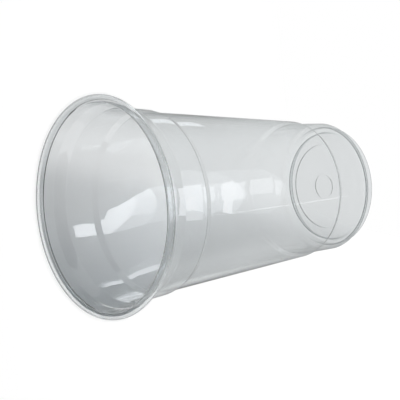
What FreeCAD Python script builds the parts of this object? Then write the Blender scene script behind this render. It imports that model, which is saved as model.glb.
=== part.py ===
"""Clear plastic disposable cup, thermoformed from one sheet, with its mouth rolled into a rim.

The cup stands on its foot. Z is its axis and z = 0 is the surface that it rests on. Sizes are in millimetres.
The sheet is drawn once as a path in the XZ plane, along its outer skin from the centre of the base up to
the rim. A second path runs beside it one sheet thickness away, and the strip between them turns about Z.
"""
import FreeCAD, Part
import math
import os

# Whole cup
HEIGHT = 140.5
SHEET = 0.3

# Rolled rim
RIM_DIAMETER = 98.0
ROLL_DIAMETER = 3.5
ROLL_OPENING = 75.0        # degrees of the roll's circle that the sheet leaves open, next to the wall

# Upper wall, from the rim down: height of each stretch, and how much its radius falls over that height
BAND_HEIGHT = 5.4          # straight band that a lid grips
BAND_FALL = 0.9
COLLAR_HEIGHT = 6.0
COLLAR_FALL = 2.0
NECK_HEIGHT = 13.3
NECK_FALL = 1.5
UPPER_STEP_HEIGHT = 3.0
UPPER_STEP_FALL = 1.25

# Lower wall, from the foot up
FOOT_DIAMETER = 57.0
FOOT_HEIGHT = 4.95
FOOT_WIDTH = 2.4           # the ring that the cup stands on
FOOT_INNER_LEAN = 0.5      # how far the ring's inner side leans in
SHOULDER_WIDTH = 2.1       # ledge between the foot and the wall
BASE_HEIGHT = 18.6
BASE_RISE = 0.6            # how much the radius grows over that height
LOWER_STEP_HEIGHT = 2.3
LOWER_STEP_RISE = 1.3

# Raised floor, with a lifted panel and a fine ring round its centre
FLOOR_LIFT = 3.4
PANEL_MARGIN = 5.1         # flat of the floor between the foot and the panel
PANEL_LIFT = 0.5
PANEL_SLOPE_WIDTH = 0.5
CENTRE_RING_RADIUS = 5.8
CENTRE_RING_WIDTH = 0.9
CENTRE_RING_LIFT = 0.2

# Inner radius of each bend in the sheet
FLOOR_BEND = 0.3
FOOT_BEND = 0.5
SHOULDER_BEND = 1.2
STEP_BEND = 0.7
COLLAR_BEND = 3.0
FINE_BEND = 0.15
RUN_SHARE = 0.45           # most of a straight run that the bend at one end of it may take


def point(radius, height):
    return FreeCAD.Vector(radius, 0, height)


def direction(start, end):
    return (end - start).normalize()


def left_of(along):
    """Unit vector square to along, on the side of the cup's inside."""
    return point(-along.z, along.x)


def tangent_point(start, centre, radius):
    """Where the line from start meets the circle, with the circle on its right."""
    reach = centre - start
    distance = reach.Length
    lean = math.asin(radius / distance)
    length = math.sqrt(distance ** 2 - radius ** 2)
    heading = math.atan2(reach.z, reach.x) + lean
    return start + point(math.cos(heading), math.sin(heading)) * length


def beside(corners, gap):
    """Corners of the path that runs at the given gap on the left of another."""
    sides = [left_of(direction(a, b)) for a, b in zip(corners, corners[1:])]
    moved = [corners[0] + sides[0] * gap]
    for corner, before, after in zip(corners[1:], sides, sides[1:]):
        moved.append(corner + (before + after) * (gap / (1 + before.dot(after))))
    moved.append(corners[-1] + sides[-1] * gap)
    return moved


def bent_path(corners, radii):
    """Straight runs between the corners, joined at each inner corner by an arc of its radius."""
    edges = []
    start = corners[0]
    for before, corner, after, radius in zip(corners, corners[1:], corners[2:], radii):
        arriving, leaving = direction(before, corner), direction(corner, after)
        half_turn = arriving.getAngle(leaving) / 2
        shorter_run = min((corner - before).Length, (after - corner).Length)
        cut = min(radius * math.tan(half_turn), RUN_SHARE * shorter_run)
        arc_start, arc_end = corner - arriving * cut, corner + leaving * cut
        inward = (leaving - arriving).normalize()
        middle = corner + inward * cut * (1 - math.cos(half_turn)) / math.sin(half_turn)
        edges.append(Part.LineSegment(start, arc_start).toShape())
        edges.append(Part.Arc(arc_start, middle, arc_end).toShape())
        start = arc_end
    edges.append(Part.LineSegment(start, corners[-1]).toShape())
    return edges


def skin_radii(corners, bends, skin_is_left):
    """Radius of each bend on one skin: the bend's own, plus the sheet where that skin goes round outside."""
    radii = []
    for before, corner, after, bend in zip(corners, corners[1:], corners[2:], bends):
        arriving, leaving = direction(before, corner), direction(corner, after)
        turns_left = left_of(arriving).dot(leaving) > 0
        radii.append(bend if turns_left == skin_is_left else bend + SHEET)
    return radii


def roll_arc(centre, start, radius):
    """Arc of the rolled rim, from start over the top, outwards and back underneath."""
    first = math.atan2(start.z - centre.z, start.x - centre.x)
    sweep = math.radians(360 - ROLL_OPENING)
    middle, end = [centre + point(math.cos(angle), math.sin(angle)) * radius
                   for angle in (first - sweep / 2, first - sweep)]
    return Part.Arc(start, middle, end).toShape(), end


def floor_corners():
    """Outer skin of the raised floor, from the axis to the foot, with the bend at each corner."""
    floor = FLOOR_LIFT
    panel = floor + PANEL_LIFT
    foot_inner = FOOT_DIAMETER / 2 - FOOT_WIDTH - FOOT_INNER_LEAN
    panel_edge = foot_inner - PANEL_MARGIN
    ring_in = CENTRE_RING_RADIUS - CENTRE_RING_WIDTH / 2
    ring_out = CENTRE_RING_RADIUS + CENTRE_RING_WIDTH / 2
    return [
        (point(ring_in, panel), FINE_BEND),
        (point(CENTRE_RING_RADIUS, panel + CENTRE_RING_LIFT), FINE_BEND),
        (point(ring_out, panel), FINE_BEND),
        (point(panel_edge - PANEL_SLOPE_WIDTH, panel), FLOOR_BEND),
        (point(panel_edge, floor), FLOOR_BEND),
        (point(foot_inner, floor), FOOT_BEND),
    ]


def wall_corners():
    """Outer skin from the foot to the lid band, with the bend at each corner."""
    foot = FOOT_DIAMETER / 2
    shoulder = foot + SHOULDER_WIDTH
    lower_step = FOOT_HEIGHT + BASE_HEIGHT
    band_bottom = HEIGHT - ROLL_DIAMETER / 2 - BAND_HEIGHT
    collar_bottom = band_bottom - COLLAR_HEIGHT
    upper_step = collar_bottom - NECK_HEIGHT
    band_radius = RIM_DIAMETER / 2 - ROLL_DIAMETER + SHEET - BAND_FALL
    collar_radius = band_radius - COLLAR_FALL
    neck_radius = collar_radius - NECK_FALL
    return [
        (point(foot - FOOT_WIDTH, 0), FOOT_BEND),
        (point(foot, 0), FOOT_BEND),
        (point(foot, FOOT_HEIGHT), FOOT_BEND),
        (point(shoulder, FOOT_HEIGHT), SHOULDER_BEND),
        (point(shoulder + BASE_RISE, lower_step), STEP_BEND),
        (point(shoulder + BASE_RISE + LOWER_STEP_RISE, lower_step + LOWER_STEP_HEIGHT), STEP_BEND),
        (point(neck_radius - UPPER_STEP_FALL, upper_step - UPPER_STEP_HEIGHT), STEP_BEND),
        (point(neck_radius, upper_step), STEP_BEND),
        (point(collar_radius, collar_bottom), COLLAR_BEND),
        (point(band_radius, band_bottom), COLLAR_BEND),
    ]


def cup():
    """The whole cup, made as one solid."""
    bent_corners = floor_corners() + wall_corners()
    roll_radius = ROLL_DIAMETER / 2
    roll_centre = point(RIM_DIAMETER / 2 - roll_radius, HEIGHT - roll_radius)
    hollow_radius = roll_radius - SHEET
    wall_top = tangent_point(bent_corners[-1][0], roll_centre, hollow_radius)

    outer = [point(0, FLOOR_LIFT + PANEL_LIFT)] + [corner for corner, bend in bent_corners] + [wall_top]
    inner = beside(outer, SHEET)
    bends = [bend for corner, bend in bent_corners]
    outer_edges = bent_path(outer, skin_radii(outer, bends, False))
    inner_edges = bent_path(inner, skin_radii(inner, bends, True))

    hollow_arc, hollow_end = roll_arc(roll_centre, outer[-1], hollow_radius)
    rim_arc, rim_end = roll_arc(roll_centre, inner[-1], roll_radius)
    cut_edge = Part.LineSegment(hollow_end, rim_end).toShape()
    on_axis = Part.LineSegment(inner[0], outer[0]).toShape()

    outline = outer_edges + [hollow_arc, cut_edge, rim_arc] + inner_edges[::-1] + [on_axis]
    section = Part.Face(Part.Wire(outline))
    return section.revolve(FreeCAD.Vector(0, 0, 0), FreeCAD.Vector(0, 0, 1), 360)


os.makedirs("parts", exist_ok=True)
shape = cup()
shape.exportStep("parts/cup.step")
box = shape.optimalBoundingBox(True, False)
print(f"cup: valid {shape.isValid()}, volume {shape.Volume:.0f} mm3, box {box.XLength:.2f} x {box.YLength:.2f} x "
      f"{box.ZLength:.2f} mm, lowest {box.ZMin:.3f} mm")
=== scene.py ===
"""Clear plastic disposable cup standing on a white table in a white studio.

Sizes are in millimetres and MM turns them to metres. The cup's axis is Z, and z = 0 is the table.
"""
import bmesh
import bpy
from math import asin, cos, radians, sin, sqrt, tan
from mathutils import Matrix, Quaternion, Vector


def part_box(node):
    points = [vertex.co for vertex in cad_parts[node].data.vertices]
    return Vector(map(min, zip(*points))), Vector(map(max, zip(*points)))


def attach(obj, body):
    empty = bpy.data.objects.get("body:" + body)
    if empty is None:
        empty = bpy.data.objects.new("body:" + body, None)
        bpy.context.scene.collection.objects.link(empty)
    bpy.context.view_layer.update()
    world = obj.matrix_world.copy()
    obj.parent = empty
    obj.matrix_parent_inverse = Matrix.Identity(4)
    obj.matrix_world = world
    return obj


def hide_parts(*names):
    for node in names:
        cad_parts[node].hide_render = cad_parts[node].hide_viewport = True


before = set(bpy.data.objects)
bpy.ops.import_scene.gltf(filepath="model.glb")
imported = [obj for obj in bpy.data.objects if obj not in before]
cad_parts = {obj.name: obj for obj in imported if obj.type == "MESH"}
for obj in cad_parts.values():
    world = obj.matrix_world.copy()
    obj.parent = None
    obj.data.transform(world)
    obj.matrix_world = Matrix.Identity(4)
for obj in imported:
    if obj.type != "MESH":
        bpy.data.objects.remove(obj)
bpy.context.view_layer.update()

MM = 0.001
cup_low, cup_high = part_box("cup")
HEIGHT = (cup_high.z - cup_low.z) / MM
RIM_RADIUS = cup_high.x / MM

# Sheet that the cup is formed from, and how it is meshed
SHEET = 0.3
ROLL_RADIUS = 1.75
ROLL_TURN = 285            # degrees of the rim's circle that the sheet goes round
ROLL_STEPS = 30
ROUND_STEPS = 256
BEND_STEPS = 4
BEND_SHARE = 0.45          # most of a straight run that the bend at one end of it may take
LONGEST_RUN = 5.0
MERGE_DISTANCE = 0.0001

# Faint ripple that forming leaves in the sheet
RIPPLE_WIDTH = 9.09
RIPPLE_STRETCH = 2         # how many times longer it is along the cup
RIPPLE_DEPTH = 0.03

# Outer skin of the floor and foot, from the axis out: radius, height and bend radius of each corner
FLOOR = [
    (5.35, 3.9, 0.3),      # fine raised ring round the centre
    (5.8, 4.1, 0.3),
    (6.25, 3.9, 0.3),
    (20.0, 3.9, 0.6),      # edge of the lifted panel
    (20.5, 3.4, 0.6),
    (25.6, 3.4, 1.2),      # inside of the foot
    (26.1, 0.0, 1.05),
    (28.5, 0.0, 1.05),
    (28.5, 4.95, 0.9),
    (30.6, 4.95, 0.7),     # shoulder above the foot
]
# Outer skin of the wall, in the same way, with its height below the rim's widest point
WALL = [
    (31.2, -115.2, 1.5),   # lower step
    (32.5, -112.9, 1.8),
    (40.15, -27.7, 0.7),   # upper step
    (41.4, -24.7, 1.0),
    (42.9, -11.4, 3.0),    # collar
    (44.9, -5.4, 3.3),
]

# Camera, where the photograph was taken from: it looks along +Y and lies on its side
CAMERA_LENS = 144
CAMERA_SENSOR = 36
CAMERA_TILT = 40.03        # degrees that it looks down
CAMERA_ROLL = -95.51       # degrees
CAMERA_DISTANCE = 727.6
CAMERA_AIM = Vector((-0.84, 0, 83.4))

# Lamp close to the camera, on the line from it to the cup's foot
KEY_PLACE = 0.98           # share of the way from the foot to the camera
KEY_RADIUS = 6
KEY_CONE = 80              # degrees
KEY_BLEND = 0.3            # share of the cone that fades out
KEY_STRENGTH = 71

# Backdrop's brightness: by how steeply one looks up, in the plastic's mirrors, and as light on things
CEILING = {"From_Min": 0.14, "From_Max": 0.4, "To_Min": 1.0, "To_Max": 0.04}
MIRRORED_BACKDROP = 0.12
FILL = 0.1

# Light table, and the share of it that glows rather than being lit, by place in metres from the cup's axis.
# Graded by place, that share is painted shade: it sets how deep the cup's shadow shows through the plastic
TABLE_RADIUS = 2000
TABLE_STEPS = 96
GLOW_LEAN = 0.215          # how much X grows for each Y on the lines that the slope and the step follow
GLOW_SLOPE = {"From_Min": -0.095, "From_Max": -0.036, "To_Min": 0.16, "To_Max": 0.50}
GLOW_STEP = {"From_Min": -0.035, "From_Max": -0.009, "To_Min": 0.0, "To_Max": 0.32}
GLOW_FRONT = {"From_Min": -0.01, "From_Max": 0.15, "To_Min": 0.26, "To_Max": -0.09}
GLOW_FAR = {"From_Min": 0.25, "From_Max": 0.4, "To_Min": 0.0, "To_Max": 1.0}
GLOW_STRAIGHT = 0.75       # least share that the camera sees straight on

# Glowing card on the table, which shows only in the cup's gloss and paints the tones of its reflections, and
# its glow by place in metres
CARD_HEIGHT = 0.4
CARD = [(-500, -500), (500, -500), (500, 500), (-500, 500)]
CARD_ACROSS = {"From_Min": -0.1, "From_Max": 0.1, "To_Min": 0.36, "To_Max": 0.78}
CARD_LEFT = {"From_Min": -0.1, "From_Max": -0.05, "To_Min": 0.5, "To_Max": 0.0}
CARD_LEFT_BACK = {"From_Min": -0.06, "From_Max": -0.02, "To_Min": 0.0, "To_Max": 1.0}
CARD_BACK = {"From_Min": 0.03, "From_Max": 0.09, "To_Min": 0.0, "To_Max": -0.28}

# Softboxes whose reflections show by way of the plastic: height over the table, strength and outline
THROUGH_PLASTIC = {
    "far_light": (1, 5.2, [(92, -258), (145, -224), (130, -186), (52, -186)]),
    "wide_light": (1, 4.4, [(130, -186), (104, -139), (39, -139), (-31, -130), (-9, -150), (10, -168),
                            (24, -178), (44, -186)]),
    "upper_light": (1, 3.0, [(39, -139), (28, -108), (-45, -108), (-31, -130)]),
    "lower_light": (1, 2.0, [(39, -139), (104, -139), (78, -118), (64, -108), (28, -108)]),
    "inner_light": (1, 1.4, [(64, -108), (45, -82), (-43, -82), (-45, -108)]),
    "side_light": (1, 3.0, [(113, 21), (138, 33), (153, 48), (199, 66), (189, 90), (178, 80), (147, 69),
                            (133, 56), (113, 44)]),
    "low_light": (1, 1.8, [(110, 135), (64, 148), (30, 160), (40, 200), (120, 180)]),
}
# Softboxes whose reflections show on the outer skin, in the same way
ON_SKIN = {
    "near_light": (1, 2.6, [(34, -121), (34, -136), (25, -141), (-20, -143), (-56, -133), (-54, -116),
                            (-21, -125), (19, -125)]),
    "neck_light": (1, 2.2, [(25, -121), (0, -124), (-12, -122), (-12, -107), (13, -107), (28, -103)]),
    "wall_light": (1, 1.9, [(28, -100), (12, -104), (-3, -105), (-3, -91), (21, -87), (26, -85)]),
    "base_light": (1, 1.9, [(21, -86), (2, -89), (-8, -88), (-8, -85), (0, -85), (18, -82)]),
    "collar_light": (80, 2.8, [(11, -50), (11, -57), (-8, -58), (-15, -57), (-15, -51), (-8, -53)]),
    "edge_light": (1, 3.0, [(-12, -45), (-11, -45), (-52, -130), (-54, -130)]),
}

# Most times that a ray may go through a skin of the sheet, and be mirrored by one
BOUNCES = 24
GLOSSY_BOUNCES = 12


def colour(code):
    """Linear colour, with alpha 1, of an sRGB hex value."""
    parts = [int(code[i:i + 2], 16) / 255 for i in (1, 3, 5)]
    return [p / 12.92 if p <= 0.04045 else ((p + 0.055) / 1.055) ** 2.4 for p in parts] + [1]


def empty_tree(owner):
    """Node tree of a material, world or lamp, without the nodes that it starts with."""
    owner.use_nodes = True
    owner.node_tree.nodes.clear()
    return owner.node_tree


def add(tree, kind, settings=None, **inputs):
    """A new node of that kind, with its settings and with each input's value or the output that feeds it.

    An input goes by its name, with _ for each space, or by _ and its number where others share its name.
    """
    node = tree.nodes.new(kind)
    for name, value in (settings or {}).items():
        setattr(node, name, value)
    for name, value in inputs.items():
        socket = node.inputs[int(name[1:]) if name[0] == "_" else name.replace("_", " ")]
        if isinstance(value, bpy.types.NodeSocket):
            tree.links.new(value, socket)
        else:
            socket.default_value = value
    return node


def seen_directly(tree):
    """1 for what the camera sees, straight or by way of the plastic, and 0 for light that falls on things."""
    rays = add(tree, "ShaderNodeLightPath")
    some = add(tree, "ShaderNodeMath", {"operation": "MAXIMUM"},
               _0=rays.outputs["Is Camera Ray"], _1=rays.outputs["Is Glossy Ray"])
    return add(tree, "ShaderNodeMath", {"operation": "MAXIMUM"},
               _0=some.outputs[0], _1=rays.outputs["Is Transmission Ray"]).outputs[0]


def mirrored(tree):
    """1 for what the plastic's gloss mirrors, and 0 for everything else."""
    rays = add(tree, "ShaderNodeLightPath")
    return add(tree, "ShaderNodeMath", {"operation": "MINIMUM"},
               _0=rays.outputs["Glossy Depth"], _1=1.0).outputs[0]


def clear_pet():
    """PET sheet, thermoformed: clear, glossy and faintly rippled, and cool grey where it is seen edge on."""
    material = bpy.data.materials.new("thermoformed_clear_pet")
    tree = empty_tree(material)
    place = add(tree, "ShaderNodeTexCoord")
    drawn = add(tree, "ShaderNodeMapping", Vector=place.outputs["Object"],
                Scale=(1.0, 1.0, 1 / RIPPLE_STRETCH))
    ripple = add(tree, "ShaderNodeTexNoise", Vector=drawn.outputs[0], Scale=1 / (RIPPLE_WIDTH * MM),
                 Detail=1.0, Roughness=0.4)
    wavy = add(tree, "ShaderNodeBump", Height=ripple.outputs[0], Strength=1.0, Distance=RIPPLE_DEPTH * MM)
    plastic = add(tree, "ShaderNodeBsdfPrincipled", Base_Color=colour("#ffffff"), Roughness=0.0, IOR=1.575,
                  Transmission_Weight=1.0, Normal=wavy.outputs[0])
    # Denser than real PET, so that a sheet as thin as this still darkens where it is seen edge on
    depth = add(tree, "ShaderNodeVolumeAbsorption", Color=colour("#c7d0d3"), Density=750.0)
    # Lamps shine through it as through a grey filter, so the cup's shadow is even
    rays = add(tree, "ShaderNodeLightPath")
    open_to_lamps = add(tree, "ShaderNodeBsdfTransparent", Color=colour("#9aa0a4"))
    surface = add(tree, "ShaderNodeMixShader", _0=rays.outputs["Is Shadow Ray"],
                  _1=plastic.outputs[0], _2=open_to_lamps.outputs[0])
    add(tree, "ShaderNodeOutputMaterial", Surface=surface.outputs[0], Volume=depth.outputs[0])
    return material


def white_table():
    """Matt white acrylic of a light table, part lit and part glowing, so it is white and keeps the shadow;
    the glowing share is graded by place, as painted shade on that shadow.
    """
    material = bpy.data.materials.new("glowing_table_painted_shadow_depth")
    tree = empty_tree(material)
    place = add(tree, "ShaderNodeTexCoord")
    across = add(tree, "ShaderNodeSeparateXYZ", Vector=place.outputs["Object"])
    # Painted shade: the glow is strongest at the right of a slanting line past the cup, and in front of the
    # cup, so the cup's shadow seen through the plastic is deepest where the glow is weakest
    slanted = add(tree, "ShaderNodeMath", {"operation": "MULTIPLY_ADD"},
                  _0=across.outputs["Y"], _1=-GLOW_LEAN, _2=across.outputs["X"])
    slope = add(tree, "ShaderNodeMapRange", Value=slanted.outputs[0], **GLOW_SLOPE)
    step = add(tree, "ShaderNodeMapRange", {"interpolation_type": "SMOOTHSTEP"},
               Value=slanted.outputs[0], **GLOW_STEP)
    front = add(tree, "ShaderNodeMapRange", Value=across.outputs["Y"], **GLOW_FRONT)
    sideways = add(tree, "ShaderNodeMath", {"operation": "ADD"}, _0=slope.outputs[0], _1=step.outputs[0])
    by_cup = add(tree, "ShaderNodeMath", {"operation": "ADD"}, _0=sideways.outputs[0], _1=front.outputs[0])
    # Far from the cup it is all glow, and the camera itself sees mostly glow, so the shadow is pale
    distance = add(tree, "ShaderNodeVectorMath", {"operation": "LENGTH"}, _0=place.outputs["Object"])
    far = add(tree, "ShaderNodeMapRange", {"interpolation_type": "SMOOTHSTEP"},
              Value=distance.outputs["Value"], **GLOW_FAR)
    rays = add(tree, "ShaderNodeLightPath")
    straight = add(tree, "ShaderNodeMath", {"operation": "MULTIPLY"},
                   _0=rays.outputs["Is Camera Ray"], _1=GLOW_STRAIGHT)
    least = add(tree, "ShaderNodeMath", {"operation": "MAXIMUM"}, _0=straight.outputs[0], _1=far.outputs[0])
    share = add(tree, "ShaderNodeMath", {"operation": "MAXIMUM"}, _0=by_cup.outputs[0], _1=least.outputs[0])
    seen = add(tree, "ShaderNodeMath", {"operation": "MULTIPLY"}, _0=seen_directly(tree), _1=share.outputs[0])
    matt = add(tree, "ShaderNodeBsdfDiffuse", Color=colour("#f7f7f7"))
    white = add(tree, "ShaderNodeEmission", Color=colour("#ffffff"), Strength=1.0)
    mixed = add(tree, "ShaderNodeMixShader", _0=seen.outputs[0], _1=matt.outputs[0], _2=white.outputs[0])
    add(tree, "ShaderNodeOutputMaterial", Surface=mixed.outputs[0])
    return material


def mirrored_only(tree, shader):
    """Ends a material that shows only in the gloss of the plastic, and that is open to every other ray."""
    nothing = add(tree, "ShaderNodeBsdfTransparent", Color=colour("#ffffff"))
    surface = add(tree, "ShaderNodeMixShader", _0=mirrored(tree), _1=nothing.outputs[0], _2=shader.outputs[0])
    add(tree, "ShaderNodeOutputMaterial", Surface=surface.outputs[0])


def softbox(name, strength):
    """Even white light of a fabric-fronted lamp."""
    material = bpy.data.materials.new(name)
    tree = empty_tree(material)
    mirrored_only(tree, add(tree, "ShaderNodeEmission", Color=colour("#fbfcff"), Strength=strength))
    return material


def painted_reflection_card():
    """Card that glows and shows only in the clear walls' gloss: painted reflections, graded from side to side
    and from front to back.
    """
    material = bpy.data.materials.new("graded_reflection_glow_card")
    tree = empty_tree(material)
    place = add(tree, "ShaderNodeTexCoord")
    across = add(tree, "ShaderNodeSeparateXYZ", Vector=place.outputs["Object"])
    # Painted reflection: it glows brighter to the right, and at the far left from beside the cup backwards,
    # and darker behind
    sideways = add(tree, "ShaderNodeMapRange", Value=across.outputs["X"], **CARD_ACROSS)
    left = add(tree, "ShaderNodeMapRange", Value=across.outputs["X"], **CARD_LEFT)
    backward = add(tree, "ShaderNodeMapRange", Value=across.outputs["Y"], **CARD_LEFT_BACK)
    back = add(tree, "ShaderNodeMapRange", Value=across.outputs["Y"], **CARD_BACK)
    left_back = add(tree, "ShaderNodeMath", {"operation": "MULTIPLY"},
                    _0=left.outputs[0], _1=backward.outputs[0])
    sides = add(tree, "ShaderNodeMath", {"operation": "ADD"}, _0=sideways.outputs[0], _1=left_back.outputs[0])
    tone = add(tree, "ShaderNodeMath", {"operation": "ADD"}, _0=sides.outputs[0], _1=back.outputs[0])
    mirrored_only(tree, add(tree, "ShaderNodeEmission", Color=colour("#fafcfc"), Strength=tone.outputs[0]))
    return material


def new_piece(name, bm, material):
    """Object made from a finished bmesh, in its material."""
    mesh = bpy.data.meshes.new(name)
    bm.to_mesh(mesh)
    bm.free()
    mesh.materials.append(material)
    piece = bpy.data.objects.new(name, mesh)
    bpy.context.scene.collection.objects.link(piece)
    return piece


def bend_corner(bm, corner, radius):
    """Rounds one corner of the section with an arc of that radius."""
    before, after = [(edge.other_vert(corner).co - corner.co) for edge in corner.link_edges]
    half_turn = (radians(180) - before.angle(after)) / 2
    cut = min(radius * tan(half_turn), BEND_SHARE * min(before.length, after.length))
    bmesh.ops.bevel(bm, geom=[corner], offset=cut, offset_type="OFFSET", segments=BEND_STEPS, profile=0.5,
                    affect="VERTICES", material=-1)


def tangent_to_roll(start, centre, radius):
    """Where the straight line from start meets the rim's circle."""
    reach = centre - start
    along = sqrt(reach.length_squared - radius ** 2)
    lean = Matrix.Rotation(-asin(radius / reach.length), 3, "Y")
    return start + lean @ reach.normalized() * along


def cup_section(bm):
    """Outer skin of the sheet, from the middle of the floor to the rim, with its bends and its rolled end."""
    roll_z = HEIGHT - ROLL_RADIUS
    corners = FLOOR + [(radius, roll_z + drop, bend) for radius, drop, bend in WALL]
    points = [bm.verts.new((0, 0, corners[0][1]))]
    points += [bm.verts.new((radius, 0, height)) for radius, height, bend in corners]
    centre = Vector((RIM_RADIUS - ROLL_RADIUS, 0, roll_z))
    points.append(bm.verts.new(tangent_to_roll(points[-1].co, centre, ROLL_RADIUS - SHEET)))
    for pair in zip(points, points[1:]):
        bm.edges.new(pair)
    bmesh.ops.spin(bm, geom=[points[-1]], cent=centre, axis=(0, 1, 0), angle=radians(ROLL_TURN),
                   steps=ROLL_STEPS)
    bmesh.ops.remove_doubles(bm, verts=bm.verts, dist=MERGE_DISTANCE)
    for point, (radius, height, bend) in zip(points[1:], corners):
        bend_corner(bm, point, bend)
    for edge in [e for e in bm.edges if e.calc_length() > LONGEST_RUN]:
        bmesh.ops.subdivide_edges(bm, edges=[edge], cuts=int(edge.calc_length() / LONGEST_RUN))


def cup_shell():
    """The whole cup: its section turned about the axis, and the sheet's thickness added to the inside."""
    bm = bmesh.new()
    cup_section(bm)
    bmesh.ops.spin(bm, geom=bm.verts[:] + bm.edges[:], cent=(0, 0, 0), axis=(0, 0, 1), angle=radians(360),
                   steps=ROUND_STEPS, use_merge=True)
    bmesh.ops.remove_doubles(bm, verts=bm.verts, dist=MERGE_DISTANCE)
    bmesh.ops.recalc_face_normals(bm, faces=bm.faces)
    bmesh.ops.transform(bm, matrix=Matrix.Scale(MM, 4), verts=bm.verts)
    for face in bm.faces:
        face.smooth = True
    shell = new_piece("cup_shell", bm, clear_pet())
    sheet = shell.modifiers.new("sheet", "SOLIDIFY")
    sheet.thickness = SHEET * MM
    sheet.offset = 1
    sheet.use_even_offset = True
    return shell


def table():
    """Round top of the light table, centred under the cup."""
    bm = bmesh.new()
    bmesh.ops.create_circle(bm, cap_ends=True, segments=TABLE_STEPS, radius=TABLE_RADIUS * MM)
    new_piece("table", bm, white_table())


def flat(name, height, outline, material, on_skin, through_plastic):
    """Level card or softbox, and whether it is mirrored on the outer skin and by way of the plastic."""
    bm = bmesh.new()
    bm.faces.new([bm.verts.new((x * MM, y * MM, height * MM)) for x, y in outline])
    bmesh.ops.recalc_face_normals(bm, faces=bm.faces)
    piece = new_piece(name, bm, material)
    piece.visible_camera = False
    piece.visible_diffuse = False
    piece.visible_shadow = False
    piece.visible_glossy = on_skin
    piece.visible_transmission = through_plastic


def studio():
    """White backdrop round the horizon, under a darker ceiling that only the glossy curves pick up."""
    world = bpy.data.worlds.new("studio")
    bpy.context.scene.world = world
    tree = empty_tree(world)
    way = add(tree, "ShaderNodeTexCoord")
    height = add(tree, "ShaderNodeSeparateXYZ", Vector=way.outputs["Generated"])
    ceiling = add(tree, "ShaderNodeMapRange", {"interpolation_type": "SMOOTHSTEP"},
                  Value=height.outputs["Z"], **CEILING)
    power = add(tree, "ShaderNodeMix", Factor=mirrored(tree), A=ceiling.outputs[0], B=MIRRORED_BACKDROP)
    backdrop = add(tree, "ShaderNodeBackground", Color=colour("#ffffff"), Strength=power.outputs[0])
    fill = add(tree, "ShaderNodeBackground", Color=colour("#ffffff"), Strength=FILL)
    mixed = add(tree, "ShaderNodeMixShader", _0=seen_directly(tree),
                _1=fill.outputs[0], _2=backdrop.outputs[0])
    add(tree, "ShaderNodeOutputWorld", Surface=mixed.outputs[0])


def camera():
    """Camera at its distance from the aim, tilted down and then rolled on its side."""
    data = bpy.data.cameras.new("camera")
    data.lens = CAMERA_LENS
    data.sensor_width = CAMERA_SENSOR
    holder = bpy.data.objects.new("camera", data)
    tilt = radians(CAMERA_TILT)
    back = Vector((0, -cos(tilt), sin(tilt)))
    holder.location = (CAMERA_AIM + back * CAMERA_DISTANCE) * MM
    holder.rotation_mode = "QUATERNION"
    roll = Quaternion((0, 0, 1), radians(CAMERA_ROLL))
    holder.rotation_quaternion = (-back).to_track_quat("-Z", "Y") @ roll
    bpy.context.scene.collection.objects.link(holder)
    bpy.context.scene.camera = holder


def key_light():
    """Lamp without falloff that points the way the camera does, so that the whole table is evenly lit."""
    key = bpy.data.lights.new("key", "SPOT")
    key.energy = 1
    key.shadow_soft_size = KEY_RADIUS * MM
    key.spot_size = radians(KEY_CONE)
    key.spot_blend = KEY_BLEND
    tree = empty_tree(key)
    even = add(tree, "ShaderNodeLightFalloff", Strength=KEY_STRENGTH)
    light = add(tree, "ShaderNodeEmission", Color=colour("#ffffff"), Strength=even.outputs["Constant"])
    add(tree, "ShaderNodeOutputLight", Surface=light.outputs[0])
    eye = bpy.context.scene.camera
    holder = bpy.data.objects.new("key", key)
    holder.location = eye.location * KEY_PLACE
    holder.rotation_mode = "QUATERNION"
    holder.rotation_quaternion = eye.rotation_quaternion
    bpy.context.scene.collection.objects.link(holder)


cup = cup_shell()
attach(cup, "root")
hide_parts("cup")

table()
studio()
camera()
key_light()
# Glowing card that paints the tones of the cup's reflections
flat("reflection_glow_card", CARD_HEIGHT, CARD, painted_reflection_card(), on_skin=True, through_plastic=True)
for name, (height, strength, outline) in THROUGH_PLASTIC.items():
    flat(name, height, outline, softbox(name, strength), on_skin=False, through_plastic=True)
for name, (height, strength, outline) in ON_SKIN.items():
    flat(name, height, outline, softbox(name, strength), on_skin=True, through_plastic=False)

scene = bpy.context.scene
scene.view_settings.view_transform = "Standard"
scene.cycles.max_bounces = BOUNCES
scene.cycles.transmission_bounces = BOUNCES
scene.cycles.glossy_bounces = GLOSSY_BOUNCES
